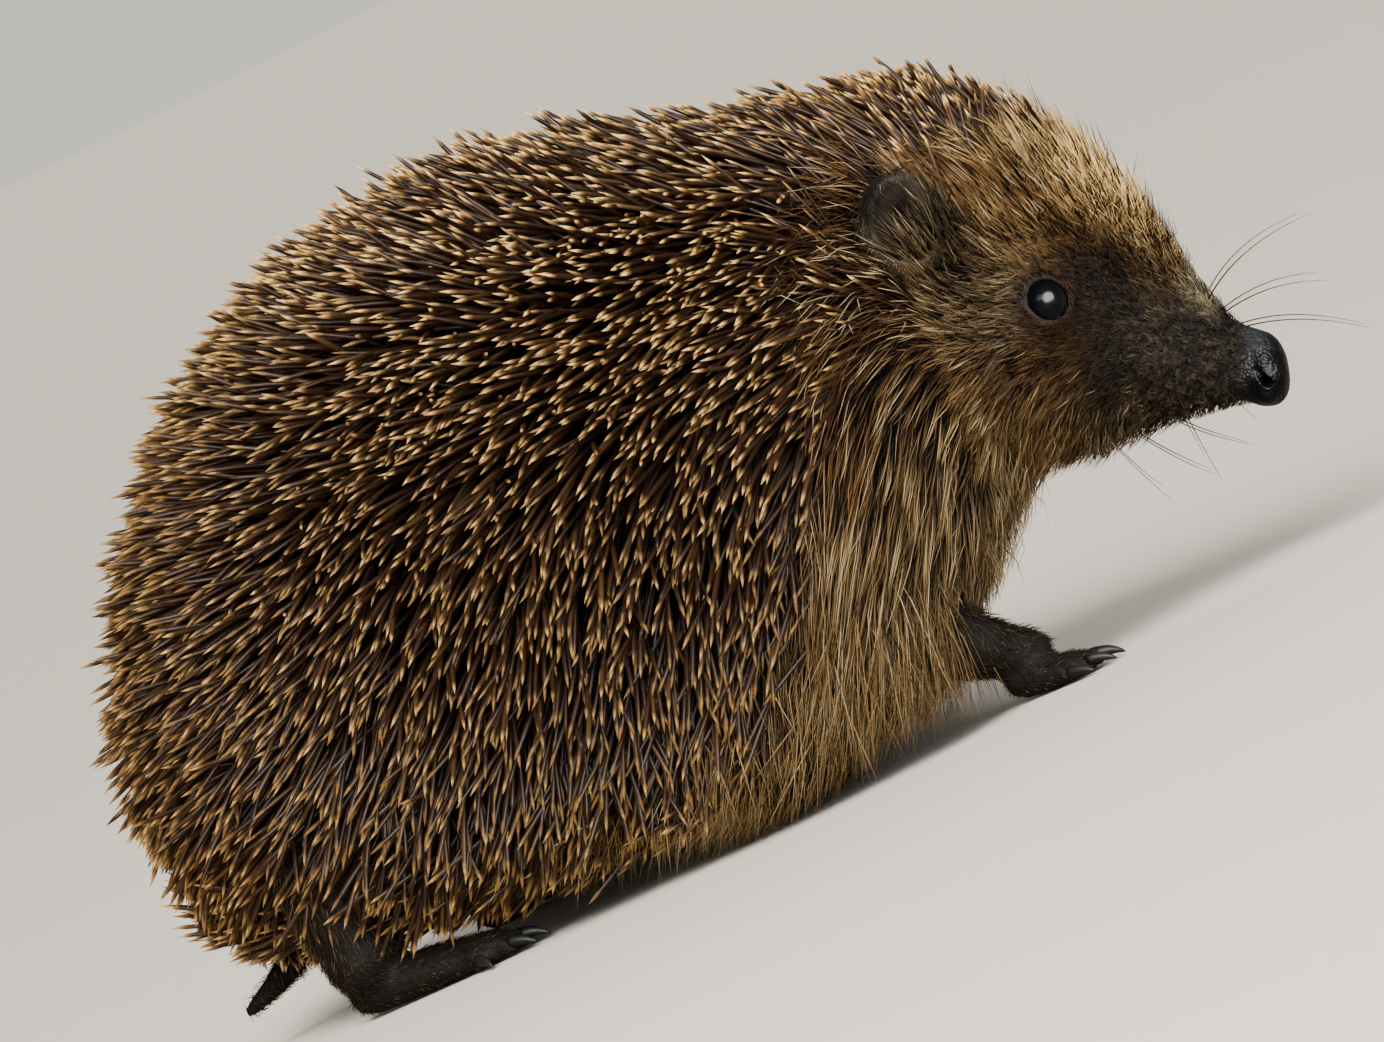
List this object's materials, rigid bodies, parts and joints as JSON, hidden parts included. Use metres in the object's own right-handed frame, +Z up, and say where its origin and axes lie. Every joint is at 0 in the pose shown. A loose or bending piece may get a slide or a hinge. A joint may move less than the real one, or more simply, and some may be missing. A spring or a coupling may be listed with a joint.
{
  "type": "hedgehog",
  "caption": "Life-size still model of a standing hedgehog, back arched and snout lowered, spine coat with a hair skirt, resting on flat soles.",
  "frame": {"origin": "on the ground, under the middle of the box round the whole animal", "axes": "+X forwards to the nose, +Y to the animal's left, +Z up"},
  "size_m": [0.1946, 0.1086, 0.1157],
  "materials": {
    "spine_coat": "hard, slightly shiny dark brown spines with cream tips",
    "fur_coat": "coarse buff and brown hair",
    "limb_skin": "thinly haired blackish brown skin",
    "ear_skin": "thin grey-brown skin with fine pale hair",
    "nose_skin": "moist black, finely grained",
    "eye_gloss": "wet black",
    "claw_horn": "smooth dark grey horn"
  },
  "bodies": {
    "root": {"rump": "spine_coat", "loins": "spine_coat", "shoulders": "spine_coat", "neck": "fur_coat", "tail": "limb_skin", "head": "fur_coat", "snout": "fur_coat", "lower_jaw": "fur_coat", "nose": "nose_skin", "eye_left": "eye_gloss", "ear_left": "ear_skin", "eye_right": "eye_gloss", "ear_right": "ear_skin", "forepaw_right": "limb_skin", "claw_forepaw_right_1": "claw_horn", "claw_forepaw_right_2": "claw_horn", "claw_forepaw_right_3": "claw_horn", "claw_forepaw_right_4": "claw_horn", "claw_forepaw_right_5": "claw_horn", "forearm_right": "limb_skin", "forepaw_left": "limb_skin", "claw_forepaw_left_1": "claw_horn", "claw_forepaw_left_2": "claw_horn", "claw_forepaw_left_3": "claw_horn", "claw_forepaw_left_4": "claw_horn", "claw_forepaw_left_5": "claw_horn", "forearm_left": "limb_skin", "hindfoot_right": "limb_skin", "claw_hindfoot_right_1": "claw_horn", "claw_hindfoot_right_2": "claw_horn", "claw_hindfoot_right_3": "claw_horn", "claw_hindfoot_right_4": "claw_horn", "claw_hindfoot_right_5": "claw_horn", "shank_right": "limb_skin", "hindfoot_left": "limb_skin", "claw_hindfoot_left_1": "claw_horn", "claw_hindfoot_left_2": "claw_horn", "claw_hindfoot_left_3": "claw_horn", "claw_hindfoot_left_4": "claw_horn", "claw_hindfoot_left_5": "claw_horn", "shank_left": "limb_skin"}
  },
  "joints": []
}
